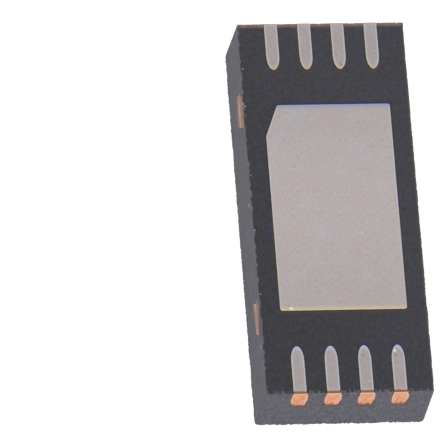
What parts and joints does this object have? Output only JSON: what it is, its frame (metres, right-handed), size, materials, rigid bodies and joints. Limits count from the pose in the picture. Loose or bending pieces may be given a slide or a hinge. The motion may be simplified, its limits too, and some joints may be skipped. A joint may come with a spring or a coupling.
{
  "type": "flash memory chip",
  "caption": "Leadless dual flat memory chip with an exposed die pad, rows of solder lands and saw-cut lead ends, lying on its marking face.",
  "frame": {"origin": "centre of the flat marking face, which the chip lies on", "axes": "+X along a row of lands, +Y along the package towards the end that the pad's cut corner is at, +Z out of the land face"},
  "size_m": [0.002, 0.0048, 0.001],
  "materials": {
    "moulding_compound": "matte black filled epoxy, moulded faces fine-grained and saw-cut walls rougher and greyer",
    "copper": "bare copper alloy, etched edges and saw-cut ends with a smeared burr",
    "matte_tin": "matte electroplated tin with a fine even grain",
    "die_adhesive": "silver-filled epoxy, dull",
    "silicon": "polished silicon with a passivated face",
    "gold": "drawn gold wire"
  },
  "bodies": {
    "root": {"mould_body": "moulding_compound", "die_paddle": "copper", "lead_1": "copper", "lead_2": "copper", "lead_3": "copper", "lead_4": "copper", "lead_5": "copper", "lead_6": "copper", "lead_7": "copper", "lead_8": "copper", "paddle_plating": "matte_tin", "land_plating_1": "matte_tin", "land_plating_2": "matte_tin", "land_plating_3": "matte_tin", "land_plating_4": "matte_tin", "land_plating_5": "matte_tin", "land_plating_6": "matte_tin", "land_plating_7": "matte_tin", "land_plating_8": "matte_tin", "die_attach": "die_adhesive", "memory_die": "silicon", "bond_wire_1": "gold", "bond_wire_2": "gold", "bond_wire_3": "gold", "bond_wire_4": "gold", "bond_wire_5": "gold", "bond_wire_6": "gold", "bond_wire_7": "gold", "bond_wire_8": "gold"}
  },
  "joints": []
}
